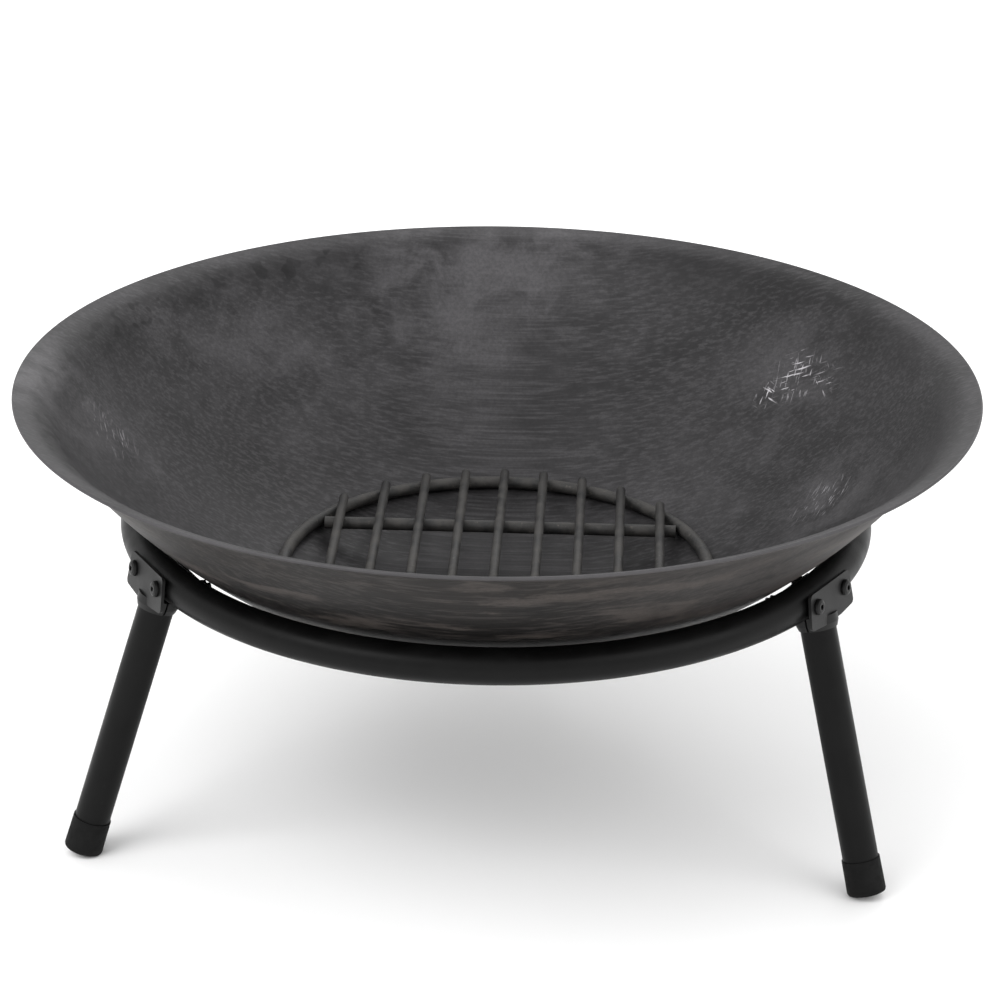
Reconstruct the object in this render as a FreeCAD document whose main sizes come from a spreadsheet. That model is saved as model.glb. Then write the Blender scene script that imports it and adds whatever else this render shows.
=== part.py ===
"""Low fire bowl on a three-legged tube stand, with a lift-out grate.

The origin is on the ground under the middle of the bowl, +Z is up, and sizes are in millimetres.
A pressed sheet bowl with a flared lip lies loose in a ring bent from round tube. Three raked tube legs
hang from the ring, each gripped by two pressed clamp halves bolted through the ring, and end in push-on
caps. A round bar grate lies inside the bowl, with its rim on the sloping wall.
"""

import FreeCAD, Part
import math
import os

import Sketcher

DIMENSIONS = {
    # bowl
    "rim_radius": 300,
    "rim_height": 270.3,
    "bowl_wall": 2,
    "lip_width": 17.7,
    "lip_rise": 7,
    "wall_radius": 393.4,
    "wall_slope": 54.3,
    "knuckle_radius": 150,
    "knuckle_slope": 24,
    # stand ring and legs
    "ring_radius": 225,
    "ring_height": 182.7,
    "tube_radius": 11,
    "tube_wall": 1.5,
    "leg_rake": 16.85,
    "leg_lean": -4.5,
    "leg_top_drop": 12,
    # foot caps
    "cap_radius": 12,
    "cap_draft": 0.25,
    "cap_length": 22,
    "cap_floor": 3,
    "cap_round": 1.5,
    "cap_gap": 0.05,
    "cap_lift": 2.4,
    # clamp halves, measured from the middle of the ring's tube
    "clamp_tilt": 9,
    "clamp_top_width": 48,
    "clamp_corner_width": 53.5,
    "clamp_thick": 2,
    "front_clamp_top": 8.4,
    "back_clamp_top": 4,
    "clamp_corner_drop": 13.4,
    "clamp_waist_drop": 15.4,
    "clamp_waist_width": 20,
    "clamp_corner_round": 3,
    "front_clamp_face": 11.05,
    "back_clamp_face": 12.55,
    "back_web_depth": 4.5,
    "saddle_radius": 11.05,
    "saddle_top_drop": 12.4,
    "saddle_end_drop": 21,
    "saddle_bevel": 3.5,
    "saddle_end_thick": 0.8,
    "saddle_gap": 0.6,
    # bolts and nuts
    "bolt_spacing": 34,
    "bolt_drop": 0.8,
    "bolt_radius": 2.5,
    "bolt_length": 35,
    "bolt_hole_radius": 2.75,
    "head_radius": 4.9,
    "head_height": 2.9,
    "head_crown": 1.3,
    "socket_flats": 3,
    "socket_depth": 1.8,
    "nut_flats": 8,
    "nut_thick": 4,
    # grate
    "grate_radius": 135,
    "grate_rod_radius": 4,
    "grate_bar_radius": 3,
    "bar_pitch": 26,
    "cross_rod_offset": 60,
    "seat_gap": 0.3,
}
SHEET = "Dimensions"
LEG_DIRECTIONS = {"left": -150, "right": -30, "back": 90}
BARS_EACH_SIDE = 4

doc = FreeCAD.newDocument("fire_bowl")
sheet = doc.addObject("Spreadsheet::Sheet", SHEET)
for row, (alias, value) in enumerate(DIMENSIONS.items(), start=1):
    sheet.set(f"A{row}", alias)
    sheet.set(f"B{row}", str(value))
    sheet.setAlias(f"B{row}", alias)
doc.recompute()
size = {alias: float(sheet.get(alias)) for alias in DIMENSIONS}
subparts = []


def bound(expression):
    """The expression with each dimension's alias written as a reference to the sheet."""
    words = []
    word = ""
    for letter in expression + " ":
        if letter.isalnum() or letter == "_":
            word += letter
            continue
        words.append(f"{SHEET}.{word}" if word in DIMENSIONS else word)
        words.append(letter)
        word = ""
    return "".join(words).strip()


def keep(item, label, placement=None):
    """Lists an object as a finished sub-part, under the name of its file."""
    item.Label = label
    if placement is not None:
        item.Placement = placement
    subparts.append(item)
    return item


def turn(axis, angle):
    return FreeCAD.Placement(FreeCAD.Vector(), FreeCAD.Rotation(FreeCAD.Vector(*axis), angle))


def move(x, y, z):
    return FreeCAD.Placement(FreeCAD.Vector(x, y, z), FreeCAD.Rotation())


def new_body(name):
    return doc.addObject("PartDesign::Body", name)


def new_sketch(body, role, name):
    """A sketch on one of the body's own origin planes."""
    sketch = body.newObject("Sketcher::SketchObject", name)
    plane = [feature for feature in body.Origin.OriginFeatures if feature.Role == role][0]
    sketch.AttachmentSupport = [(plane, "")]
    sketch.MapMode = "FlatFace"
    return sketch


def hold(sketch, kind, where, expression, start):
    """A sketch dimension that follows an expression, with a value near it to begin from."""
    index = sketch.addConstraint(Sketcher.Constraint(kind, *where, start))
    sketch.setExpression(f"Constraints[{index}]", bound(expression))


def place_point(sketch, edge, end, across, up):
    """Holds one end of an edge at two coordinates, each an expression or 0 for on the axis."""
    for value, kind, axis in ((across, "DistanceX", -2), (up, "DistanceY", -1)):
        if value == 0:
            sketch.addConstraint(Sketcher.Constraint("PointOnObject", edge, end, axis))
        else:
            hold(sketch, kind, (-1, 1, edge, end), value, 1.0)


def polygon(sketch, corners):
    """A closed outline of straight edges through corners given as pairs of expressions."""
    count = len(corners)
    turned = [2 * math.pi * n / count for n in range(count)]
    start = [FreeCAD.Vector(10 + math.cos(a), 10 + math.sin(a), 0) for a in turned]
    for n in range(count):
        sketch.addGeometry(Part.LineSegment(start[n], start[(n + 1) % count]), False)
    for n in range(count):
        sketch.addConstraint(Sketcher.Constraint("Coincident", n, 2, (n + 1) % count, 1))
    for n, (across, up) in enumerate(corners):
        place_point(sketch, n, 1, across, up)


def revolve(body, sketch):
    feature = body.newObject("PartDesign::Revolution", body.Name + "_turned")
    feature.Profile = sketch
    feature.ReferenceAxis = (sketch, ["V_Axis"])
    feature.Angle = 360
    sketch.Visibility = False
    return feature


def turned_body(name, corners):
    """A body turned about its Z axis from an outline of radius and height."""
    body = new_body(name)
    sketch = new_sketch(body, "XZ_Plane", name + "_outline")
    polygon(sketch, corners)
    revolve(body, sketch)
    return body


def primitive(kind, name, sizes):
    """A Part primitive whose properties follow expressions."""
    item = doc.addObject(kind, name)
    for prop, expression in sizes.items():
        item.setExpression(prop, bound(expression))
    return item


def cut(name, base, tool):
    item = doc.addObject("Part::Cut", name)
    item.Base = base
    item.Tool = tool
    return item


# ---------------------------------------------------------------- bowl


def wall_centre():
    """Radius and height of the centre of the wall's arc."""
    slope = math.radians(size["wall_slope"])
    across = size["rim_radius"] - size["lip_width"] - size["wall_radius"] * math.sin(slope)
    up = size["rim_height"] - size["lip_rise"] + size["wall_radius"] * math.cos(slope)
    return across, up


def knuckle_centre():
    """Radius and height of the centre of the arc between the wall and the floor."""
    across, up = wall_centre()
    slope = math.radians(size["knuckle_slope"])
    reach = size["wall_radius"] - size["knuckle_radius"]
    return across + reach * math.sin(slope), up - reach * math.cos(slope)


def add_line(sketch, start, end):
    ends = [FreeCAD.Vector(across, up, 0) for across, up in (start, end)]
    return sketch.addGeometry(Part.LineSegment(*ends), False)


def add_arc(sketch, centre, radius, low, high):
    """An arc whose slopes at its two ends are given in degrees, measured from a flat floor."""
    circle = Part.Circle(FreeCAD.Vector(*centre, 0), FreeCAD.Vector(0, 0, 1), radius)
    start, end = (math.radians(slope - 90) for slope in (low, high))
    return sketch.addGeometry(Part.ArcOfCircle(circle, start, end), False)


def add_skin(sketch, offset):
    """Draws one skin of the bowl, offset inwards, as floor, knuckle, wall and lip edges."""
    knuckle_radius = size["knuckle_radius"] - offset
    wall_radius = size["wall_radius"] - offset
    middle = knuckle_centre()
    floor_height = middle[1] - knuckle_radius
    floor = add_line(sketch, (0, floor_height), (middle[0], floor_height))
    knuckle = add_arc(sketch, middle, knuckle_radius, 0, size["knuckle_slope"])
    wall = add_arc(sketch, wall_centre(), wall_radius, size["knuckle_slope"], size["wall_slope"])
    wall_end = sketch.getPoint(wall, 2)
    tilt = math.atan2(size["lip_rise"], size["lip_width"])
    rim = (
        size["rim_radius"] - offset * math.sin(tilt),
        size["rim_height"] + offset * math.cos(tilt),
    )
    lip = add_line(sketch, (wall_end.x, wall_end.y), rim)
    sketch.addConstraint(Sketcher.Constraint("PointOnObject", floor, 1, -2))
    sketch.addConstraint(Sketcher.Constraint("Horizontal", floor))
    sketch.addConstraint(Sketcher.Constraint("Tangent", floor, 2, knuckle, 1))
    sketch.addConstraint(Sketcher.Constraint("Tangent", knuckle, 2, wall, 1))
    sketch.addConstraint(Sketcher.Constraint("Coincident", wall, 2, lip, 1))
    return floor, knuckle, wall, lip


def close_section(sketch, outer, inner):
    """Joins the two skins at the rim and on the axis, and holds them one sheet thickness apart."""
    floor, knuckle, wall, lip = outer
    inner_floor, inner_knuckle, inner_wall, inner_lip = inner
    points = [sketch.getPoint(edge, 2) for edge in (lip, inner_lip)]
    rim = add_line(sketch, *[(point.x, point.y) for point in points])
    points = [sketch.getPoint(edge, 1) for edge in (inner_floor, floor)]
    axis = add_line(sketch, *[(point.x, point.y) for point in points])
    for joint in (
        (lip, 2, rim, 1),
        (rim, 2, inner_lip, 2),
        (axis, 1, inner_floor, 1),
        (axis, 2, floor, 1),
        (knuckle, 3, inner_knuckle, 3),
        (wall, 3, inner_wall, 3),
    ):
        sketch.addConstraint(Sketcher.Constraint("Coincident", *joint))
    sketch.addConstraint(Sketcher.Constraint("Parallel", lip, inner_lip))
    sketch.addConstraint(Sketcher.Constraint("Perpendicular", lip, rim))
    hold(sketch, "Distance", (rim,), "bowl_wall", size["bowl_wall"])


def make_bowl():
    body = new_body("bowl")
    sketch = new_sketch(body, "XZ_Plane", "bowl_section")
    outer = add_skin(sketch, 0)
    inner = add_skin(sketch, size["bowl_wall"])
    close_section(sketch, outer, inner)
    _, knuckle, wall, lip = outer
    inner_radius = size["wall_radius"] - size["bowl_wall"]
    hold(sketch, "Radius", (wall,), "wall_radius", size["wall_radius"])
    hold(sketch, "Radius", (knuckle,), "knuckle_radius", size["knuckle_radius"])
    hold(sketch, "Radius", (inner[2],), "wall_radius - bowl_wall", inner_radius)
    foot = "rim_radius - lip_width"
    centre = f"{foot} - wall_radius * sin(wall_slope * 1 deg)"
    hold(sketch, "DistanceX", (-1, 1, wall, 3), centre, wall_centre()[0])
    join = f"{centre} + wall_radius * sin(knuckle_slope * 1 deg)"
    hold(sketch, "DistanceX", (-1, 1, knuckle, 2), join, sketch.getPoint(knuckle, 2).x)
    for edge, across, up in (
        (wall, foot, "rim_height - lip_rise"),
        (lip, "rim_radius", "rim_height"),
    ):
        point = sketch.getPoint(edge, 2)
        hold(sketch, "DistanceX", (-1, 1, edge, 2), across, point.x)
        hold(sketch, "DistanceY", (-1, 1, edge, 2), up, point.y)
    revolve(body, sketch)
    keep(body, "bowl")


# ---------------------------------------------------------------- stand


def clamp_placement(direction):
    """A clamp's own frame, centred in the ring's tube: X points outwards and Y runs along the ring."""
    middle = move(size["ring_radius"], 0, size["ring_height"])
    return turn((0, 0, 1), direction) * middle * turn((0, 1, 0), -size["clamp_tilt"])


def leg_in_clamp():
    """A leg's own frame within its clamp's: raked outwards, leaning a little sideways, Z up the leg."""
    rake = size["leg_rake"] - size["clamp_tilt"]
    return turn((0, 1, 0), -rake) * turn((1, 0, 0), size["leg_lean"])


def leg_placement(direction):
    return clamp_placement(direction) * leg_in_clamp()


def bolt_places():
    """The sideways places of the two bolts of a clamp, named."""
    return {"a": -size["bolt_spacing"] / 2, "b": size["bolt_spacing"] / 2}


def bolt_placement(direction, sideways, reach):
    """Puts a piece made along Z on a bolt's axis, at a distance out from the ring's middle."""
    at = move(reach, sideways, -size["bolt_drop"])
    return clamp_placement(direction) * at * turn((0, 1, 0), 90)


def make_ring():
    skin = primitive(
        "Part::Torus", "ring_skin", {"Radius1": "ring_radius", "Radius2": "tube_radius"}
    )
    hollow = primitive(
        "Part::Torus",
        "ring_hollow",
        {"Radius1": "ring_radius", "Radius2": "tube_radius - tube_wall"},
    )
    holes = []
    for direction in LEG_DIRECTIONS.values():
        for sideways in bolt_places().values():
            hole = primitive(
                "Part::Cylinder",
                "ring_bolt_hole",
                {"Radius": "bolt_hole_radius", "Height": "tube_radius * 4"},
            )
            start = bolt_placement(direction, sideways, -2 * size["tube_radius"])
            hole.Placement = move(0, 0, -size["ring_height"]) * start
            holes.append(hole)
    drilling = doc.addObject("Part::MultiFuse", "ring_bolt_holes")
    drilling.Shapes = holes
    tube = cut("ring_tube_blank", skin, hollow)
    keep(cut("ring_tube", tube, drilling), "ring_tube", move(0, 0, size["ring_height"]))


LEG_LENGTH = "((ring_height - cap_lift) / cos(leg_rake * 1 deg) / cos(leg_lean * 1 deg))"


def make_leg(side, direction):
    foot = f"-({LEG_LENGTH} - cap_floor)"
    inside = "tube_radius - tube_wall"
    body = turned_body(
        f"leg_{side}",
        [
            ("tube_radius", "-leg_top_drop"),
            ("tube_radius", foot),
            (inside, foot),
            (inside, "-leg_top_drop"),
        ],
    )
    keep(body, f"leg_{side}", leg_placement(direction))


def make_foot_cap(side, direction):
    """A push-on cap, with a flat where its low edge meets the ground."""
    bottom = f"-{LEG_LENGTH}"
    top = f"{bottom} + cap_length"
    bore = "tube_radius + cap_gap"
    bore_end = f"{bottom} + cap_floor - cap_gap"
    form = turned_body(
        f"cap_form_{side}",
        [
            (0, bottom),
            ("cap_radius - cap_round", bottom),
            ("cap_radius - cap_round * 0.3", f"{bottom} + cap_round * 0.3"),
            ("cap_radius", f"{bottom} + cap_round"),
            ("cap_radius - cap_draft", top),
            (bore, top),
            (bore, bore_end),
            (0, bore_end),
        ],
    )
    edge = "cap_radius * 6"
    ground = primitive(
        "Part::Box", f"ground_{side}", {"Length": edge, "Width": edge, "Height": edge}
    )
    half = 3 * size["cap_radius"]
    reach = math.tan(math.radians(size["leg_rake"])) * size["ring_height"]
    under_foot = move(size["ring_radius"] + reach - half, -half, -2 * half)
    ground.Placement = leg_placement(direction).inverse() * turn((0, 0, 1), direction) * under_foot
    keep(cut(f"foot_cap_{side}", form, ground), f"foot_cap_{side}", leg_placement(direction))


def drill_plate(body, name):
    """Two bolt holes through a clamp's plate."""
    sketch = new_sketch(body, "YZ_Plane", name + "_hole_sketch")
    for n, sign in enumerate(("-", "")):
        circle = Part.Circle(FreeCAD.Vector(n, 1, 0), FreeCAD.Vector(0, 0, 1), 0.4)
        sketch.addGeometry(circle, False)
        place_point(sketch, n, 3, f"{sign}bolt_spacing / 2", "-bolt_drop")
        hold(sketch, "Radius", (n,), "bolt_hole_radius", 0.4)
    pocket = body.newObject("PartDesign::Pocket", name + "_holes")
    pocket.Profile = sketch
    pocket.Type = "ThroughAll"
    pocket.Midplane = True
    sketch.Visibility = False


def round_corners(body, name):
    """Rounds the four outer corners of a clamp's plate."""
    doc.recompute()
    base = body.Tip
    inside = size["clamp_waist_width"] / 2 + 0.01
    corners = [
        f"Edge{n}"
        for n, edge in enumerate(base.Shape.Edges, start=1)
        if edge.Curve.TypeId == "Part::GeomLine"
        and abs(edge.tangentAt(edge.FirstParameter).x) > 0.99
        and abs(edge.Vertexes[0].Y) > inside
        and abs(abs(edge.Vertexes[0].Y) - size["bolt_spacing"] / 2) > size["bolt_hole_radius"] + 0.1
    ]
    rounding = body.newObject("PartDesign::Fillet", name + "_corners")
    rounding.Base = (base, corners)
    rounding.setExpression("Radius", bound("clamp_corner_round"))


def make_plate(name, face, top):
    """A clamp half's flat plate, which faces the ring and carries the two bolts."""
    body = new_body(name + "_plate")
    sketch = new_sketch(body, "YZ_Plane", name + "_plate_sketch")
    sketch.setExpression(".AttachmentOffset.Base.z", bound(face))
    polygon(
        sketch,
        [
            ("clamp_top_width / 2", top),
            ("-clamp_top_width / 2", top),
            ("-clamp_corner_width / 2", "-clamp_corner_drop"),
            ("-clamp_waist_width / 2", "-clamp_waist_drop"),
            ("clamp_waist_width / 2", "-clamp_waist_drop"),
            ("clamp_corner_width / 2", "-clamp_corner_drop"),
        ],
    )
    pad = body.newObject("PartDesign::Pad", name + "_plate_pad")
    pad.Profile = sketch
    pad.setExpression("Length", bound("clamp_thick"))
    sketch.Visibility = False
    drill_plate(body, name)
    round_corners(body, name)
    return body


def make_saddle(name, leg):
    """The half sleeve of a clamp half that wraps the end of the leg."""
    skin = "saddle_radius + clamp_thick"
    inside = "saddle_radius * 0.6"
    sleeve = turned_body(
        name + "_sleeve",
        [
            (inside, "-saddle_top_drop"),
            (skin, "-saddle_top_drop"),
            (skin, "-saddle_end_drop + saddle_bevel"),
            ("saddle_radius + saddle_end_thick", "-saddle_end_drop"),
            (inside, "-saddle_end_drop"),
        ],
    )
    sleeve.Placement = leg
    edge = "saddle_radius * 4"
    side = primitive("Part::Box", name + "_side", {"Length": edge, "Width": edge, "Height": edge})
    half = size["saddle_radius"] * 2
    side.Placement = leg * move(size["saddle_gap"], -half, -2 * half)
    saddle = doc.addObject("Part::Common", name + "_saddle")
    saddle.Base = sleeve
    saddle.Tool = side
    return saddle


def make_web(name):
    """A short shelf that joins the back plate to its saddle."""
    web = primitive(
        "Part::Box",
        name + "_web",
        {"Length": "back_web_depth", "Width": "clamp_waist_width", "Height": "clamp_thick"},
    )
    reach = size["back_clamp_face"] + size["clamp_thick"] - size["back_web_depth"]
    web.Placement = move(reach, -size["clamp_waist_width"] / 2, -size["clamp_waist_drop"])
    return web


def make_clamp_half(name, placement, plate, saddle, leg, extra=()):
    """Joins a plate and a saddle, and clears the leg's place through both."""
    whole = doc.addObject("Part::MultiFuse", name + "_blank")
    whole.Shapes = [plate, saddle, *extra]
    bore = primitive(
        "Part::Cylinder", name + "_bore", {"Radius": "saddle_radius", "Height": "saddle_end_drop"}
    )
    bore.Placement = leg * move(0, 0, -size["saddle_end_drop"] - size["leg_top_drop"] + 0.1)
    keep(cut(name, whole, bore), name, placement)


def make_clamp(side, direction):
    """Both halves. The back one is built facing outwards, and then turned to face the front one."""
    about = turn((0, 0, 1), 180)
    place = clamp_placement(direction)
    leg = leg_in_clamp()
    name = f"front_clamp_{side}"
    plate = make_plate(name, "front_clamp_face", "front_clamp_top")
    make_clamp_half(name, place, plate, make_saddle(name, leg), leg)
    name = f"back_clamp_{side}"
    leg = about * leg * about
    plate = make_plate(name, "back_clamp_face", "back_clamp_top")
    make_clamp_half(name, place * about, plate, make_saddle(name, leg), leg, [make_web(name)])


def hexagon(sketch, flats):
    """Six edges around the middle, with a corner pointing along X."""
    outline = ((1, 0), (0.5, 1), (-0.5, 1), (-1, 0), (-0.5, -1), (0.5, -1))
    corners = []
    for across, up in outline:
        height = f"{up} * {flats} / 2" if up else 0
        corners.append((f"{across} * {flats} / cos(30 deg) / 2", height))
    polygon(sketch, corners)


def make_bolt(side, direction, letter, sideways):
    """A button-head bolt with a hexagon socket. Its own origin is under the head."""
    name = f"bolt_{side}_{letter}"
    body = turned_body(
        name,
        [
            (0, "head_height"),
            ("head_radius - head_crown * 1.5", "head_height"),
            ("head_radius - head_crown * 0.4", "head_height - head_crown * 0.45"),
            ("head_radius", "head_height - head_crown * 1.2"),
            ("head_radius", 0),
            ("bolt_radius", 0),
            ("bolt_radius", "-bolt_length"),
            (0, "-bolt_length"),
        ],
    )
    sketch = new_sketch(body, "XY_Plane", name + "_socket_sketch")
    sketch.setExpression(".AttachmentOffset.Base.z", bound("head_height - socket_depth"))
    hexagon(sketch, "socket_flats")
    socket = body.newObject("PartDesign::Pocket", name + "_socket")
    socket.Profile = sketch
    socket.setExpression("Length", bound("head_height"))
    socket.Reversed = True
    sketch.Visibility = False
    reach = size["front_clamp_face"] + size["clamp_thick"]
    keep(body, name, bolt_placement(direction, sideways, reach))


def make_nut(side, direction, letter, sideways):
    """A plain hexagon nut on the end of the bolt, with a corner facing up."""
    name = f"nut_{side}_{letter}"
    body = new_body(name)
    sketch = new_sketch(body, "XY_Plane", name + "_sketch")
    hexagon(sketch, "nut_flats")
    pad = body.newObject("PartDesign::Pad", name + "_pad")
    pad.Profile = sketch
    pad.setExpression("Length", bound("nut_thick"))
    sketch.Visibility = False
    bore_sketch = new_sketch(body, "XY_Plane", name + "_bore_sketch")
    circle = Part.Circle(FreeCAD.Vector(0, 0, 0), FreeCAD.Vector(0, 0, 1), size["bolt_radius"])
    bore_sketch.addGeometry(circle, False)
    bore_sketch.addConstraint(Sketcher.Constraint("Coincident", 0, 3, -1, 1))
    hold(bore_sketch, "Radius", (0,), "bolt_radius", size["bolt_radius"])
    bore = body.newObject("PartDesign::Pocket", name + "_bore")
    bore.Profile = bore_sketch
    bore.Type = "ThroughAll"
    bore.Midplane = True
    bore_sketch.Visibility = False
    reach = -(size["back_clamp_face"] + size["clamp_thick"] + size["nut_thick"])
    keep(body, name, bolt_placement(direction, sideways, reach))


# ---------------------------------------------------------------- grate


def grate_height():
    """Height of the grate's rim rod, just clear of the wall it lies on."""
    across, up = wall_centre()
    reach = size["wall_radius"] - size["bowl_wall"] - size["grate_rod_radius"] - size["seat_gap"]
    return up - math.sqrt(reach**2 - (size["grate_radius"] - across) ** 2)


def make_grate_ring():
    ring = primitive(
        "Part::Torus", "grate_ring", {"Radius1": "grate_radius", "Radius2": "grate_rod_radius"}
    )
    keep(ring, "grate_ring", move(0, 0, grate_height()))


def make_grate_bar(number):
    """One of the bars that lie across the top of the rim rod, running front to back."""
    place = number * size["bar_pitch"]
    bar = primitive(
        "Part::Cylinder",
        f"grate_bar_{number + BARS_EACH_SIDE + 1}",
        {
            "Radius": "grate_bar_radius",
            "Height": f"2 * sqrt(grate_radius^2 - ({number} * bar_pitch)^2)",
        },
    )
    back = math.sqrt(size["grate_radius"] ** 2 - place**2)
    height = grate_height() + size["grate_rod_radius"] + size["grate_bar_radius"]
    keep(bar, bar.Name, move(place, back, height) * turn((1, 0, 0), 90))


def make_cross_rod(name, sign):
    """A rod inside the rim rod, level with it, that carries the bars between their ends."""
    inner = size["grate_radius"] - size["grate_rod_radius"]
    edge = size["cross_rod_offset"] + size["grate_rod_radius"]
    reach = "(grate_radius - grate_rod_radius)"
    far = "(cross_rod_offset + grate_rod_radius)"
    rod = primitive(
        "Part::Cylinder",
        f"grate_cross_rod_{name}",
        {"Radius": "grate_rod_radius", "Height": f"2 * sqrt({reach}^2 - {far}^2)"},
    )
    start = -math.sqrt(inner**2 - edge**2)
    at = move(start, sign * size["cross_rod_offset"], grate_height())
    keep(rod, f"grate_cross_rod_{name}", at * turn((0, 1, 0), 90))


# ---------------------------------------------------------------- build and write

make_bowl()
make_ring()
for side, direction in LEG_DIRECTIONS.items():
    make_leg(side, direction)
    make_foot_cap(side, direction)
    make_clamp(side, direction)
    for letter, sideways in bolt_places().items():
        make_bolt(side, direction, letter, sideways)
        make_nut(side, direction, letter, sideways)
make_grate_ring()
for number in range(-BARS_EACH_SIDE, BARS_EACH_SIDE + 1):
    make_grate_bar(number)
make_cross_rod("front", -1)
make_cross_rod("rear", 1)
doc.recompute()

for item in doc.Objects:
    if "Invalid" in item.State or "Error" in item.State:
        raise RuntimeError(f"{item.Label} failed to build: {item.State}")
for item in subparts:
    if item.Shape.isNull() or not item.Shape.isValid():
        raise RuntimeError(f"{item.Label} has no valid shape")

os.makedirs("parts", exist_ok=True)
for item in subparts:
    item.Shape.exportStep(f"parts/{item.Label}.step")
    solids = len(item.Shape.Solids)
    print(f"{item.Label:24s} {solids} solid {item.Shape.Volume / 1000:9.2f} cm3")
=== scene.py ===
"""Low fire bowl on a three-legged tube stand, with a lift-out grate.

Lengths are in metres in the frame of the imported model: +Z is up, and the origin is on the ground
under the middle of the bowl.
"""

import math

import bmesh
import bpy
from mathutils import Matrix, Vector


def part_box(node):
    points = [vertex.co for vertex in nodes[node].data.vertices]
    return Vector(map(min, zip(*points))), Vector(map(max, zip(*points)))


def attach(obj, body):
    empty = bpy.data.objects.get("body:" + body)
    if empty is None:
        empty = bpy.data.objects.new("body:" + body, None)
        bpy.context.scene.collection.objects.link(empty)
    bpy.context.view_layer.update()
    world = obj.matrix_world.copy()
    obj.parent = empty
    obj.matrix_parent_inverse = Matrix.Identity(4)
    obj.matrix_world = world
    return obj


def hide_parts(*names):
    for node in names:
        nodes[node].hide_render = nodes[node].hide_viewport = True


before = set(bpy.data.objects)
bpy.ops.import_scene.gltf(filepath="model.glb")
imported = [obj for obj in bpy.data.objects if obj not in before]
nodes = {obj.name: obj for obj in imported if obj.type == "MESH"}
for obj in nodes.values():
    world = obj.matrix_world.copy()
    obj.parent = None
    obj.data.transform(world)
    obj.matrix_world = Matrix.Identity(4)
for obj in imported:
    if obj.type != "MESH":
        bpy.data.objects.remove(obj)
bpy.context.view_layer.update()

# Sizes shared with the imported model, in metres and degrees.
BOWL_WALL = 0.002
RIM_RADIUS = 0.300
LIP_WIDTH = 0.0177
LIP_RISE = 0.007
WALL_RADIUS = 0.3934
WALL_SLOPE = 54.3
KNUCKLE_RADIUS = 0.150
KNUCKLE_SLOPE = 24.0
RING_RADIUS = 0.225
TUBE_RADIUS = 0.011
LEG_RAKE = 16.85
LEG_LEAN = -4.5
LEG_TOP_DROP = 0.012
CAP_LIFT = 0.0024
CAP_FLOOR = 0.003
LEG_DIRECTIONS = {"left": -150, "right": -30, "back": 90}

# Sizes that only the visible pieces have.
LIP_BEND_REACH = 0.013
RIM_ROUND = 0.0006
# Width of the painted highlight along the rim's edge.
RIM_HIGHLIGHT_WIDTH = 0.0012
LEG_WALL = 0.0015
LEG_END_CHAMFER = 0.0004
TURN_STEPS = 288
LEG_TURN_STEPS = 64
TUBE_POINTS = 48
BAR_SIDES = 32
SAME_PLACE = 1e-6

ring_low, ring_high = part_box("ring_tube")
RING_HEIGHT = (ring_low.z + ring_high.z) / 2
LEG_STEEPNESS = math.cos(math.radians(LEG_RAKE)) * math.cos(math.radians(LEG_LEAN))
LEG_LENGTH = (RING_HEIGHT - CAP_LIFT) / LEG_STEEPNESS
FLOOR_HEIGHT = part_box("bowl")[0].z


# ---------------------------------------------------------------- node trees


class Tree:
    """A node tree, with short calls for the nodes that any tree uses."""

    def __init__(self, tree):
        self.tree = tree

    def put(self, socket, value):
        """Links an output, or sets a plain value."""
        if isinstance(value, bpy.types.NodeSocket):
            self.tree.links.new(value, socket)
        else:
            socket.default_value = value

    def add(self, kind, settings=(), **inputs):
        """Adds a node with its settings and inputs, where an input's name has _ for a space."""
        node = self.tree.nodes.new(kind)
        for name, value in dict(settings).items():
            setattr(node, name, value)
        for name, value in inputs.items():
            self.put(node.inputs[name.replace("_", " ")], value)
        return node

    def math(self, operation, *values):
        node = self.add("ShaderNodeMath", {"operation": operation})
        for socket, value in zip(node.inputs, values):
            self.put(socket, value)
        return node.outputs[0]

    def combine(self, x, y, z):
        return self.add("ShaderNodeCombineXYZ", X=x, Y=y, Z=z).outputs[0]

    def split(self, place):
        return self.add("ShaderNodeSeparateXYZ", Vector=place).outputs


class PieceTree(Tree):
    """A Geometry Nodes tree that makes a piece."""

    def __init__(self, name, sizes):
        super().__init__(bpy.data.node_groups.new(name, "GeometryNodeTree"))
        sockets = self.tree.interface
        sockets.new_socket("Geometry", in_out="INPUT", socket_type="NodeSocketGeometry")
        for label, kind in sizes.items():
            sockets.new_socket(label, in_out="INPUT", socket_type=kind)
        sockets.new_socket("Material", in_out="INPUT", socket_type="NodeSocketMaterial")
        sockets.new_socket("Geometry", in_out="OUTPUT", socket_type="NodeSocketGeometry")
        self.given = self.tree.nodes.new("NodeGroupInput").outputs
        self.place = self.add("GeometryNodeInputPosition").outputs[0]

    def finish(self, geometry):
        """Ends the tree with smooth shading, real faces and a material."""
        smooth = self.add("GeometryNodeSetShadeSmooth", Geometry=geometry).outputs[0]
        real = self.add("GeometryNodeRealizeInstances", Geometry=smooth).outputs[0]
        painted = self.add(
            "GeometryNodeSetMaterial", Geometry=real, Material=self.given["Material"]
        )
        end = self.tree.nodes.new("NodeGroupOutput")
        self.put(end.inputs[0], painted.outputs[0])
        return self.tree


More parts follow.
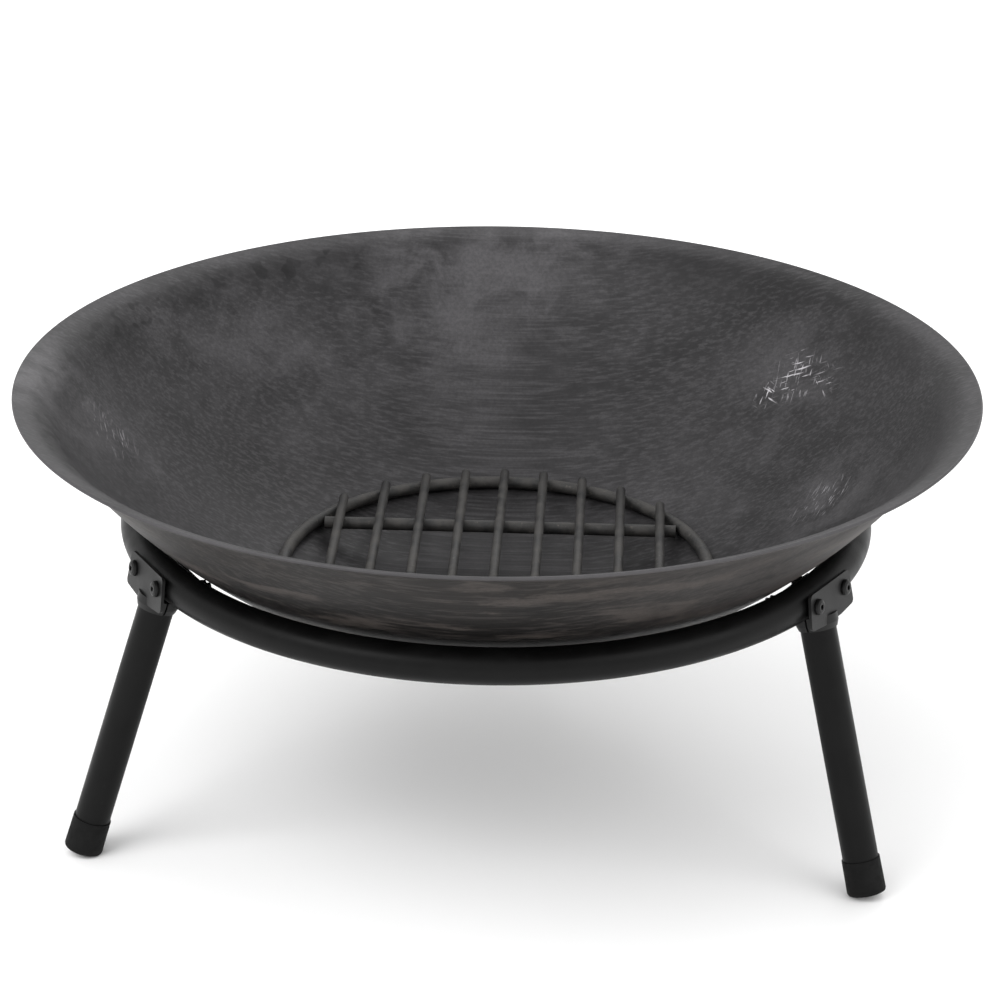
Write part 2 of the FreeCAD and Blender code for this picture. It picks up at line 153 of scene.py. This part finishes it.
def turned_tree():
    """Turns a loop of points in the XZ plane about Z, as a grid of steps by points."""
    shape = PieceTree("turned_piece", {"Steps": "NodeSocketInt", "Points": "NodeSocketInt"})
    steps, points = shape.given["Steps"], shape.given["Points"]
    row = shape.math("ADD", points, 1)
    steps_and_first = shape.math("ADD", steps, 1)
    grid = shape.add("GeometryNodeMeshGrid", Vertices_X=steps_and_first, Vertices_Y=row)
    index = shape.add("GeometryNodeInputIndex").outputs[0]
    step = shape.math("FLOOR", shape.math("DIVIDE", index, row))
    point = shape.math("MODULO", shape.math("MODULO", index, row), points)
    sample = shape.add(
        "GeometryNodeSampleIndex",
        {"data_type": "FLOAT_VECTOR", "domain": "POINT"},
        Geometry=shape.given["Geometry"],
        Value=shape.place,
        Index=point,
    )
    radius, _, height = shape.split(sample.outputs[0])
    angle = shape.math("DIVIDE", shape.math("MULTIPLY", step, 2 * math.pi), steps)
    x = shape.math("MULTIPLY", radius, shape.math("COSINE", angle))
    y = shape.math("MULTIPLY", radius, shape.math("SINE", angle))
    turned = shape.add(
        "GeometryNodeSetPosition",
        Geometry=grid.outputs["Mesh"],
        Position=shape.combine(x, y, height),
    )
    merged = shape.add(
        "GeometryNodeMergeByDistance", Geometry=turned.outputs[0], Distance=SAME_PLACE
    )
    return shape.finish(merged.outputs[0])


def grate_bar_tree():
    """Parallel bars across a circle, each as long as the chord where it lies."""
    sizes = ("Pitch", "Circle Radius", "Bar Radius", "Height")
    kinds = {"Bars": "NodeSocketInt", **dict.fromkeys(sizes, "NodeSocketFloat")}
    shape = PieceTree("grate_bars", kinds)
    bars, pitch, circle, radius, height = (shape.given[name] for name in kinds)
    gaps = shape.math("SUBTRACT", bars, 1)
    first = shape.math("MULTIPLY", gaps, shape.math("MULTIPLY", pitch, -0.5))
    row = shape.add(
        "GeometryNodeMeshLine",
        Count=bars,
        Start_Location=shape.combine(first, 0.0, height),
        Offset=shape.combine(pitch, 0.0, 0.0),
    )
    bar = shape.add("GeometryNodeMeshCylinder", Vertices=BAR_SIDES, Radius=radius, Depth=1.0)
    x = shape.split(shape.place)[0]
    circle_square = shape.math("MULTIPLY", circle, circle)
    half_square = shape.math("SUBTRACT", circle_square, shape.math("MULTIPLY", x, x))
    chord = shape.math("MULTIPLY", shape.math("SQRT", half_square), 2.0)
    laid = shape.add(
        "GeometryNodeInstanceOnPoints",
        Points=row.outputs[0],
        Instance=bar.outputs["Mesh"],
        Rotation=(math.pi / 2, 0.0, 0.0),
        Scale=shape.combine(1.0, 1.0, chord),
    )
    return shape.finish(laid.outputs[0])


TURNED_PIECE = turned_tree()
GRATE_BARS = grate_bar_tree()


# ---------------------------------------------------------------- mesh helpers


def link(mesh, name, body):
    """Makes a mesh a piece that rides on a body."""
    piece = bpy.data.objects.new(name, mesh)
    bpy.context.scene.collection.objects.link(piece)
    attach(piece, body)
    return piece


def build(name, tree, sizes, start, material):
    """Runs a tree on a starting mesh and returns its result as a plain mesh, faces outwards."""
    maker = bpy.data.objects.new(name + "_maker", start)
    bpy.context.scene.collection.objects.link(maker)
    modifier = maker.modifiers.new("shape", "NODES")
    modifier.node_group = tree
    sockets = (item for item in tree.interface.items_tree if item.in_out == "INPUT")
    identifiers = {item.name: item.identifier for item in sockets}
    for label, value in {**sizes, "Material": material}.items():
        modifier[identifiers[label]] = value
    graph = bpy.context.evaluated_depsgraph_get()
    mesh = bpy.data.meshes.new_from_object(maker.evaluated_get(graph))
    mesh.name = name
    maker.modifiers.remove(modifier)
    bpy.data.objects.remove(maker)
    work = bmesh.new()
    work.from_mesh(mesh)
    bmesh.ops.recalc_face_normals(work, faces=work.faces)
    work.to_mesh(mesh)
    work.free()
    return mesh


def lathe(name, profile, steps, material):
    """A closed solid turned about Z from a loop of (radius, height) points."""
    outline = bpy.data.meshes.new(name + "_outline")
    outline.from_pydata([(radius, 0, height) for radius, height in profile], [], [])
    sizes = {"Steps": steps, "Points": len(profile)}
    return build(name, TURNED_PIECE, sizes, outline, material)


def arc(centre, radius, start, end, count):
    """Points along an arc in the (radius, height) plane, with slopes in degrees from a flat floor."""
    slopes = [math.radians(start + (end - start) * n / count) for n in range(count + 1)]
    return [
        (centre[0] + radius * math.sin(slope), centre[1] - radius * math.cos(slope))
        for slope in slopes
    ]


def line(start, end, count):
    """Points after the start, up to and with the end."""
    return [
        (
            start[0] + (end[0] - start[0]) * n / count,
            start[1] + (end[1] - start[1]) * n / count,
        )
        for n in range(1, count + 1)
    ]


def leg_matrix(direction):
    """A leg's own frame, centred in the ring's tube: Z runs up the leg and X points outwards."""
    return (
        Matrix.Rotation(math.radians(direction), 4, "Z")
        @ Matrix.Translation((RING_RADIUS, 0, RING_HEIGHT))
        @ Matrix.Rotation(math.radians(-LEG_RAKE), 4, "Y")
        @ Matrix.Rotation(math.radians(LEG_LEAN), 4, "X")
    )


# ---------------------------------------------------------------- material helpers


# A marked spot's core and end, as parts of its reach, and how ragged its edge is.
SPOT_CORE = 0.4
SPOT_END = 1.35
SPOT_RAGGED = 0.7
SPOT_GRAIN = 55

# The sheet's faint violet cast.
STEEL_TINT = (1.02, 0.985, 1.03)


class FinishTree(Tree):
    """A material's node tree, with short calls for the nodes it uses."""

    def __init__(self, name):
        self.material = bpy.data.materials.new(name)
        self.material.use_nodes = True
        super().__init__(self.material.node_tree)
        self.tree.nodes.clear()
        self.shader = self.add("ShaderNodeBsdfPrincipled")
        self.add("ShaderNodeOutputMaterial", Surface=self.shader.outputs[0])
        self.place = self.add("ShaderNodeTexCoord").outputs["Object"]

    def vector(self, operation, first, second):
        """A vector operation on two vectors, with its vector or its number."""
        node = self.add("ShaderNodeVectorMath", {"operation": operation})
        self.put(node.inputs[0], first)
        self.put(node.inputs[1], second)
        return node.outputs["Value" if operation in ("DOT_PRODUCT", "DISTANCE") else 0]

    def scaled(self, place, scale):
        return self.vector("MULTIPLY", place, scale)

    def noise(self, scale, detail=4, roughness=0.5, distortion=0.0, place=None):
        return self.add(
            "ShaderNodeTexNoise",
            Vector=self.place if place is None else place,
            Scale=scale,
            Detail=detail,
            Roughness=roughness,
            Distortion=distortion,
        ).outputs["Fac"]

    def ramp(self, value, low, high, start=0.0, end=1.0):
        """A smooth step from start, at low, to end, at high."""
        return self.add(
            "ShaderNodeMapRange",
            {"interpolation_type": "SMOOTHSTEP"},
            Value=value,
            From_Min=low,
            From_Max=high,
            To_Min=start,
            To_Max=end,
        ).outputs["Result"]

    def mix(self, factor, first, second):
        """A mix of two colours."""
        node = self.add("ShaderNodeMix", {"data_type": "RGBA"}, Factor=factor)
        sockets = [socket for socket in node.inputs if socket.type == "RGBA"]
        self.put(sockets[0], first)
        self.put(sockets[1], second)
        return [socket for socket in node.outputs if socket.type == "RGBA"][0]

    def near(self, centre, reach):
        """1 close to a point, falling to 0 at the reach, with a ragged edge."""
        grain = self.noise(SPOT_GRAIN, detail=3)
        ragged = self.math("MULTIPLY", grain, reach * SPOT_RAGGED)
        gap = self.math("ADD", self.vector("DISTANCE", self.place, centre), ragged)
        return self.ramp(gap, reach * SPOT_CORE, reach * SPOT_END, 1, 0)

    def attribute(self, name):
        return self.add("ShaderNodeAttribute", {"attribute_name": name}).outputs["Fac"]

    def bump(self, height, strength, distance):
        node = self.add("ShaderNodeBump", Strength=strength, Distance=distance, Height=height)
        self.put(self.shader.inputs["Normal"], node.outputs[0])

    def finish(self, colour, roughness, metallic=0.0, specular=0.5):
        self.put(self.shader.inputs["Base Color"], colour)
        self.put(self.shader.inputs["Roughness"], roughness)
        self.put(self.shader.inputs["Metallic"], metallic)
        self.put(self.shader.inputs["Specular IOR Level"], specular)
        return self.material


def grey(level, warm=0.0):
    """A colour from a display grey of 0 to 255, made a little warm or cool."""
    value = level / 255
    linear = value / 12.92 if value <= 0.04045 else ((value + 0.055) / 1.055) ** 2.4
    return (linear * (1 + warm), linear, linear * (1 - warm), 1.0)


def steel_grey(level, warm=0.0):
    """A grey with the sheet's faint violet cast."""
    colour = grey(level, warm)
    return (*(channel * tint for channel, tint in zip(colour, STEEL_TINT)), 1.0)


# ---------------------------------------------------------------- materials


def wall_centre():
    """The middle of the wall's arc in the (radius, height) plane."""
    slope = math.radians(WALL_SLOPE)
    across = RIM_RADIUS - LIP_WIDTH - WALL_RADIUS * math.sin(slope)
    knuckle = math.radians(KNUCKLE_SLOPE)
    drop = (WALL_RADIUS - KNUCKLE_RADIUS) * math.cos(knuckle) + KNUCKLE_RADIUS
    return across, FLOOR_HEIGHT + drop


# The heights between which the wall bends into the lip, and over which a painted highlight makes the
# lip lighter.
BEND_START = (0.243, 0.26)
BEND_END = (0.2675, 0.2655)
LIP_HIGHLIGHT_HEIGHTS = (0.2655, 0.2705)

# Fine polishing strokes run along X. Smears on the outside lie level.
STROKE_SCALE = (11, 420, 420)
SMEAR_SCALE = (13, 13, 70)

# Smudges inside the bowl: middle, reach, strength and display grey.
SMUDGES = (
    ((0.19, 0.15, 0.22), 0.075, 0.45, 88),
    ((0.205, 0.02, 0.187), 0.07, 0.5, 92),
    ((0.13, 0.10, 0.16), 0.08, 0.35, 78),
    ((-0.05, 0.25, 0.24), 0.12, 0.6, 86),
    ((-0.18, 0.18, 0.22), 0.11, 0.5, 84),
    ((0.0, 0.295, 0.27), 0.12, 0.45, 92),
    ((-0.29, 0.0, 0.27), 0.09, 0.55, 94),
    ((-0.245, 0.02, 0.225), 0.07, 0.35, 88),
    ((-0.14, 0.245, 0.262), 0.06, 0.35, 38),
    ((-0.265, 0.09, 0.258), 0.07, 0.35, 40),
    ((0.13, 0.245, 0.262), 0.06, 0.6, 40),
)

# Scuffed places on the inner wall: angle, radius, reach, strength and the scratches' tilts.
SCUFFS = (
    (38, 0.245, 0.025, 1.0, (62, -38)),
    (32, 0.249, 0.015, 0.9, (-40, 25)),
    (41, 0.231, 0.015, 0.9, (70, 10)),
    (6, 0.208, 0.030, 0.45, (35, 48)),
    (176, 0.246, 0.030, 0.3, (-32, -20)),
)
SCRATCH_LENGTHWISE = 75
SCRATCH_ACROSS = 560
UPHILL_STEP = 0.001


def on_wall(angle, radius):
    """A place on the bowl's inner wall."""
    centre = wall_centre()
    drop = math.sqrt((WALL_RADIUS - BOWL_WALL) ** 2 - (radius - centre[0]) ** 2)
    turn = math.radians(angle)
    return Vector((radius * math.cos(turn), radius * math.sin(turn), centre[1] - drop))


def scuffs(tree):
    """All the scuffed places as one mask of short, broken scratches."""
    mask = 0.0
    for angle, radius, reach, strength, tilts in SCUFFS:
        centre = on_wall(angle, radius)
        uphill = (on_wall(angle, radius + UPHILL_STEP) - centre).normalized()
        sideways = Vector((0, 0, 1)).cross(uphill).normalized()
        spot = tree.math("MULTIPLY", tree.near(centre, reach), strength)
        for tilt in map(math.radians, tilts):
            along = sideways * math.cos(tilt) + uphill * math.sin(tilt)
            across = uphill * math.cos(tilt) - sideways * math.sin(tilt)
            u = tree.vector("DOT_PRODUCT", tree.place, along * SCRATCH_LENGTHWISE)
            v = tree.vector("DOT_PRODUCT", tree.place, across * SCRATCH_ACROSS)
            streak = tree.noise(1, detail=2, distortion=0.5, place=tree.combine(u, v, 0.0))
            streak = tree.math("MULTIPLY", tree.ramp(streak, 0.61, 0.7), spot)
            mask = tree.math("MAXIMUM", mask, streak)
    return mask


def steel_material():
    """Raw rolled sheet: mottled, with fine polishing strokes, hand smudges and a few bright rubs, and
    painted highlights and painted shade.
    """
    tree = FinishTree("raw_steel_sheet")
    x, _, z = tree.split(tree.place)
    cloud = tree.noise(8, detail=5, roughness=0.55, distortion=0.6)
    patch = tree.noise(24, detail=6, roughness=0.62, distortion=0.5)
    grain = tree.noise(420, detail=3, roughness=0.7)
    stretched = tree.scaled(tree.place, STROKE_SCALE)
    strokes = tree.noise(1, detail=4, roughness=0.6, place=stretched)
    tone = inner_tone(tree, x, z, cloud, patch, strokes)
    outer = outer_tone(tree, x, z, patch, strokes)
    colour = tree.mix(tree.attribute("inside"), outer, tone)
    colour = tree.mix(tree.ramp(grain, 0.35, 0.65, 0, 0.25), colour, steel_grey(30))
    # Painted highlight: a thin lighter line along the rim's edge.
    colour = tree.mix(tree.math("MULTIPLY", tree.attribute("edge"), 0.6), colour, steel_grey(82))
    height = tree.math("MULTIPLY_ADD", patch, 0.6, tree.math("MULTIPLY", strokes, 0.3))
    tree.bump(height, 0.4, 0.0006)
    roughness = tree.ramp(cloud, 0.2, 0.8, 0.44, 0.6)
    return tree.finish(colour, roughness, metallic=0.25, specular=0.15)


def outer_tone(tree, x, z, patch, strokes):
    """The outside of the bowl: a warmer, darker grey, smeared lengthwise, with painted shade darkest
    by the ring and painted light on its right side.
    """
    stretched = tree.scaled(tree.place, SMEAR_SCALE)
    smear = tree.noise(1, detail=6, roughness=0.65, distortion=0.4, place=stretched)
    # Painted shade: the outer wall darkens from just under the rim down to the ring.
    tone = tree.mix(tree.ramp(z, 0.195, 0.262), steel_grey(10, 0.15), steel_grey(28, 0.15))
    # Painted light: the right side of the outer wall made lighter.
    tone = tree.mix(tree.ramp(x, 0.03, 0.17, 0, 0.6), tone, steel_grey(60, 0.08))
    tone = tree.mix(tree.ramp(smear, 0.5, 0.62, 0, 0.7), tone, steel_grey(68, 0.14))
    tone = tree.mix(tree.ramp(smear, 0.47, 0.36, 0, 0.6), tone, steel_grey(8, 0.12))
    tone = tree.mix(tree.ramp(patch, 0.5, 0.3, 0, 0.4), tone, steel_grey(14, 0.12))
    return tree.mix(tree.ramp(strokes, 0.48, 0.62, 0, 0.35), tone, steel_grey(70, 0.1))


def inner_tone(tree, x, z, cloud, patch, strokes):
    """The inside of the bowl: cool grey, with darker and lighter marks from handling, and a painted
    highlight on the lip.
    """
    tone = tree.mix(tree.ramp(cloud, 0.34, 0.66), steel_grey(37), steel_grey(54))
    tone = tree.mix(tree.ramp(patch, 0.54, 0.72, 0, 0.28), tone, steel_grey(74))
    tone = tree.mix(tree.ramp(patch, 0.44, 0.3, 0, 0.3), tone, steel_grey(32))
    tone = tree.mix(tree.ramp(strokes, 0.47, 0.64, 0, 0.32), tone, steel_grey(82))
    tone = tree.mix(tree.ramp(strokes, 0.5, 0.38, 0, 0.25), tone, steel_grey(30))
    bend = tree.math("MULTIPLY", tree.ramp(z, *BEND_START), tree.ramp(z, *BEND_END))
    blotch = tree.ramp(patch, 0.58, 0.44, 0, 0.4)
    tone = tree.mix(tree.math("MULTIPLY", bend, blotch), tone, steel_grey(34))
    prints = tree.math("MULTIPLY", bend, tree.ramp(tree.noise(95, detail=1), 0.54, 0.6))
    prints = tree.math("MULTIPLY", prints, tree.ramp(x, -0.07, -0.13, 0, 0.75))
    tone = tree.mix(prints, tone, steel_grey(24))
    # Painted highlight: the top of the lip made lighter, unevenly, where light falls on it.
    lip_highlight_amount = tree.ramp(cloud, 0.35, 0.6, 0.05, 0.4)
    lip = tree.math("MULTIPLY", tree.ramp(z, *LIP_HIGHLIGHT_HEIGHTS), lip_highlight_amount)
    tone = tree.mix(lip, tone, steel_grey(76))
    for centre, reach, amount, level in SMUDGES:
        uneven = tree.ramp(patch, 0.38, 0.6, 0.1, amount)
        smudge = tree.math("MULTIPLY", tree.near(centre, reach), uneven)
        tone = tree.mix(smudge, tone, steel_grey(level))
    return tree.mix(scuffs(tree), tone, steel_grey(210))


def paint_material(name, level, rough, specular):
    """Satin powder coat with a fine orange-peel surface and a little dust."""
    tree = FinishTree(name)
    dust = tree.noise(38, detail=5, roughness=0.6)
    peel = tree.noise(900, detail=2, roughness=0.5)
    wear = tree.noise(160, detail=4, roughness=0.6)
    colour = tree.mix(tree.ramp(dust, 0.35, 0.75, 0, 0.6), grey(level), grey(level + 9))
    colour = tree.mix(tree.ramp(wear, 0.66, 0.74, 0, 0.25), colour, grey(level + 26))
    tree.bump(peel, 0.25, 0.0002)
    roughness = tree.ramp(dust, 0.3, 0.8, rough - 0.06, rough + 0.1)
    return tree.finish(colour, roughness, specular=specular)


def rubber_material():
    """Matt black rubber, scuffed, and dusty where it stands."""
    tree = FinishTree("cap_rubber")
    scuff = tree.noise(220, detail=5, roughness=0.65)
    dust = tree.noise(60, detail=4)
    z = tree.split(tree.place)[2]
    colour = tree.mix(tree.ramp(dust, 0.4, 0.7, 0, 0.5), grey(14), grey(22))
    colour = tree.mix(tree.ramp(z, 0.007, 0.0, 0, 0.35), colour, grey(38, 0.05))
    colour = tree.mix(tree.ramp(scuff, 0.62, 0.72, 0, 0.3), colour, grey(36))
    tree.bump(scuff, 0.3, 0.0003)
    return tree.finish(colour, tree.ramp(scuff, 0.3, 0.7, 0.62, 0.8), specular=0.13)


def grate_material():
    """Sooty round bar, with brown heat scale in patches."""
    tree = FinishTree("grate_steel")
    soot = tree.noise(70, detail=6, roughness=0.65)
    scale = tree.noise(320, detail=4, roughness=0.6)
    colour = tree.mix(tree.ramp(soot, 0.35, 0.65), grey(38), grey(62, 0.06))
    colour = tree.mix(tree.ramp(scale, 0.6, 0.72, 0, 0.5), colour, grey(88, 0.12))
    tree.bump(scale, 0.5, 0.0004)
    roughness = tree.ramp(soot, 0.3, 0.7, 0.55, 0.75)
    return tree.finish(colour, roughness, metallic=0.3, specular=0.4)


steel = steel_material()
frame_paint = paint_material("frame_black", 9, 0.42, 0.13)
clamp_paint = paint_material("clamp_black", 26, 0.46, 0.2)
bolt_paint = paint_material("bolt_black", 12, 0.38, 0.2)
rubber = rubber_material()
grate_steel = grate_material()


# ---------------------------------------------------------------- bowl


def bowl_skin(offset):
    """One skin of the bowl from the floor's middle to the rim, offset inwards from the outer one."""
    centre = wall_centre()
    knuckle, steep = math.radians(KNUCKLE_SLOPE), math.radians(WALL_SLOPE)
    tilt = math.atan2(LIP_RISE, LIP_WIDTH)
    reach = WALL_RADIUS - KNUCKLE_RADIUS
    middle = (centre[0] + reach * math.sin(knuckle), centre[1] - reach * math.cos(knuckle))
    floor = middle[1] - KNUCKLE_RADIUS + offset
    straight = math.degrees(LIP_BEND_REACH / WALL_RADIUS)
    points = [(0.0, floor)] + line((0.0, floor), (middle[0], floor), 10)
    points += arc(middle, KNUCKLE_RADIUS - offset, 0, KNUCKLE_SLOPE, 14)[1:]
    points += arc(centre, WALL_RADIUS - offset, KNUCKLE_SLOPE, WALL_SLOPE - straight, 44)[1:]
    wall_out = Vector((-math.sin(steep), math.cos(steep)))
    lip_out = Vector((-math.sin(tilt), math.cos(tilt)))
    outer = Vector((RIM_RADIUS - LIP_WIDTH, centre[1] - WALL_RADIUS * math.cos(steep)))
    corner = outer + (wall_out + lip_out) * (offset / (1 + wall_out.dot(lip_out)))
    start = Vector(points[-1])
    end = corner + Vector((math.cos(tilt), math.sin(tilt))) * LIP_BEND_REACH
    for n in range(1, 13):
        t = n / 12
        points.append(tuple(start * (1 - t) ** 2 + corner * (2 * t * (1 - t)) + end * t**2))
    rim = outer + Vector((LIP_WIDTH, LIP_RISE)) + lip_out * offset
    return points + line(points[-1], tuple(rim), 5)


def rim_edge(outer, inner):
    """Points round the rim's edge, from the outer skin's end to the inner one's."""
    middle = (Vector(outer) + Vector(inner)) / 2
    across = (Vector(inner) - Vector(outer)) / 2
    out = Vector((across.y, -across.x))
    turns = [math.pi * n / 8 for n in range(1, 8)]
    return [tuple(middle - across * math.cos(a) + out * 0.6 * (math.sin(a) - 1)) for a in turns]


def make_bowl():
    """The pressed sheet, with its inside and its rim's edge marked for the material, the edge for a
    painted highlight.
    """
    outer, inner = bowl_skin(0.0), bowl_skin(BOWL_WALL)
    edge = rim_edge(outer[-1], inner[-1])
    out = (Vector(inner[-1]) - Vector(outer[-1])).normalized()
    pull = Vector((out.y, -out.x)) * RIM_ROUND
    outer[-1] = tuple(Vector(outer[-1]) - pull)
    inner[-1] = tuple(Vector(inner[-1]) - pull)
    mesh = lathe("bowl_sheet", outer + edge + inner[::-1], TURN_STEPS, steel)
    inside = mesh.attributes.new("inside", "FLOAT", "POINT")
    edge_highlight = mesh.attributes.new("edge", "FLOAT", "POINT")
    for vertex in mesh.vertices:
        radius = math.hypot(vertex.co.x, vertex.co.y)
        inside.data[vertex.index].value = 1.0 if vertex.normal.z > 0 else 0.0
        edge_highlight.data[vertex.index].value = 1.0 if radius > RIM_RADIUS - RIM_HIGHLIGHT_WIDTH else 0.0
    piece = link(mesh, "bowl_sheet", "bowl")
    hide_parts("bowl")


# ---------------------------------------------------------------- stand


def make_ring():
    """The round tube that the bowl sits in."""
    turns = [2 * math.pi * n / TUBE_POINTS for n in range(TUBE_POINTS)]
    profile = [
        (RING_RADIUS + TUBE_RADIUS * math.cos(a), RING_HEIGHT + TUBE_RADIUS * math.sin(a))
        for a in turns
    ]
    mesh = lathe("stand_ring", profile, TURN_STEPS, frame_paint)
    piece = link(mesh, "stand_ring", "stand")
    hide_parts("ring_tube")


def make_leg(side, direction):
    """A tube from the cap's floor to just under the ring, hollow and with a chamfered top."""
    low, high = -(LEG_LENGTH - CAP_FLOOR), -LEG_TOP_DROP
    bore = TUBE_RADIUS - LEG_WALL
    profile = [(TUBE_RADIUS, low)]
    profile += line((TUBE_RADIUS, low), (TUBE_RADIUS, high - LEG_END_CHAMFER), 24)
    profile += [(TUBE_RADIUS - LEG_END_CHAMFER, high), (bore, high), (bore, low)]
    mesh = lathe(f"leg_tube_{side}", profile, LEG_TURN_STEPS, frame_paint)
    mesh.transform(leg_matrix(direction))
    piece = link(mesh, f"leg_tube_{side}", "stand")
    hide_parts(f"leg_{side}")


# ---------------------------------------------------------------- grate


def make_grate_bars():
    """The bars, laid across the top of the grate's ring."""
    names = [name for name in nodes if name.startswith("grate_bar")]
    low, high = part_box("grate_bar_1")
    next_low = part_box("grate_bar_2")[0]
    hoop_low, hoop_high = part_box("grate_ring")
    rod_radius = (hoop_high.z - hoop_low.z) / 2
    sizes = {
        "Bars": len(names),
        "Pitch": next_low.x - low.x,
        "Circle Radius": hoop_high.x - rod_radius,
        "Bar Radius": (high.x - low.x) / 2,
        "Height": (low.z + high.z) / 2,
    }
    start = bpy.data.meshes.new("grate_bars_start")
    mesh = build("grate_bars", GRATE_BARS, sizes, start, grate_steel)
    piece = link(mesh, "grate_bars", "grate")
    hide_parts(*names)


# ---------------------------------------------------------------- all the pieces


def keep_node(name, material):
    """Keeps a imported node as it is, with a better material."""
    surface = nodes[name].data.materials
    surface.clear()
    surface.append(material)


make_bowl()
make_ring()
for side, direction in LEG_DIRECTIONS.items():
    make_leg(side, direction)
    keep_node(f"foot_cap_{side}", rubber)
    keep_node(f"front_clamp_{side}", clamp_paint)
    keep_node(f"back_clamp_{side}", clamp_paint)
    for letter in "ab":
        keep_node(f"bolt_{side}_{letter}", bolt_paint)
        keep_node(f"nut_{side}_{letter}", bolt_paint)
make_grate_bars()
for name in ("grate_ring", "grate_cross_rod_front", "grate_cross_rod_rear"):
    keep_node(name, grate_steel)


# ---------------------------------------------------------------- floor, light and camera


FLOOR_REACH = 9
FLOOR_DARK = (0.93, 0.93, 0.93, 1)
FLOOR_LIGHT = (0.95, 0.95, 0.95, 1)
SKY_STRENGTH = 1.1

# Each light's place, width and power, all aimed at the bowl.
LIGHTS = {
    "key": ((-1.8, -1.6, 2.6), 2.4, 60),
    "fill": ((2.2, -1.2, 1.8), 2.2, 20),
    "back": ((0.4, 2.4, 2.2), 2.0, 26),
}
LIGHT_AIM = Vector((0, 0, 0.15))

# The camera looks at the middle of the ring.
CAMERA_AZIMUTH = 2.4
CAMERA_ELEVATION = 23.21
CAMERA_ROLL = 0.56
CAMERA_DISTANCE = 2.2112
CAMERA_LENS = 125.87
CAMERA_SENSOR = 36
CAMERA_SHIFT = (0.0043, 0.0110)
CAMERA_REACH = 100


def make_floor():
    """A pale, level floor."""
    reach = FLOOR_REACH
    corners = [(-reach, -reach, 0), (reach, -reach, 0), (reach, reach, 0), (-reach, reach, 0)]
    mesh = bpy.data.meshes.new("floor")
    mesh.from_pydata(corners, [], [(0, 1, 2, 3)])
    floor = bpy.data.objects.new("floor", mesh)
    bpy.context.scene.collection.objects.link(floor)
    tree = FinishTree("floor_pale")
    tone = tree.mix(tree.noise(3, detail=2), FLOOR_DARK, FLOOR_LIGHT)
    mesh.materials.append(tree.finish(tone, 0.9, specular=0.1))


def add_light(name, place, size, power):
    """A round soft light that points at the bowl."""
    light = bpy.data.lights.new(name, "AREA")
    light.shape = "DISK"
    light.size = size
    light.energy = power
    lamp = bpy.data.objects.new(name, light)
    bpy.context.scene.collection.objects.link(lamp)
    lamp.location = place
    lamp.rotation_mode = "QUATERNION"
    lamp.rotation_quaternion = (LIGHT_AIM - Vector(place)).to_track_quat("-Z", "Y")


def make_camera():
    """A long lens in front of the object, a little above it."""
    azimuth, elevation = math.radians(CAMERA_AZIMUTH), math.radians(CAMERA_ELEVATION)
    roll = math.radians(CAMERA_ROLL)
    forward = math.cos(elevation)
    back = Vector(
        (math.sin(azimuth) * forward, -math.cos(azimuth) * forward, math.sin(elevation))
    )
    data = bpy.data.cameras.new("camera")
    data.sensor_width = CAMERA_SENSOR
    data.lens = CAMERA_LENS
    data.shift_x, data.shift_y = CAMERA_SHIFT
    data.clip_end = CAMERA_REACH
    camera = bpy.data.objects.new("camera", data)
    bpy.context.scene.collection.objects.link(camera)
    right = Vector((math.cos(azimuth), math.sin(azimuth), 0))
    up = back.cross(right)
    tilted = right * math.cos(roll) + up * math.sin(roll)
    upright = back.cross(tilted)
    facing = Matrix((tilted, upright, back)).transposed().to_4x4()
    place = Vector((0, 0, RING_HEIGHT)) + back * CAMERA_DISTANCE
    camera.matrix_world = Matrix.Translation(place) @ facing
    bpy.context.scene.camera = camera


def make_world():
    """Even white light from all round."""
    world = bpy.data.worlds.new("studio")
    world.use_nodes = True
    sky = world.node_tree.nodes["Background"]
    sky.inputs["Color"].default_value = (1, 1, 1, 1)
    sky.inputs["Strength"].default_value = SKY_STRENGTH
    bpy.context.scene.world = world


make_floor()
make_world()
for name, (place, size, power) in LIGHTS.items():
    add_light(name, place, size, power)
make_camera()
bpy.context.scene.view_settings.view_transform = "Standard"
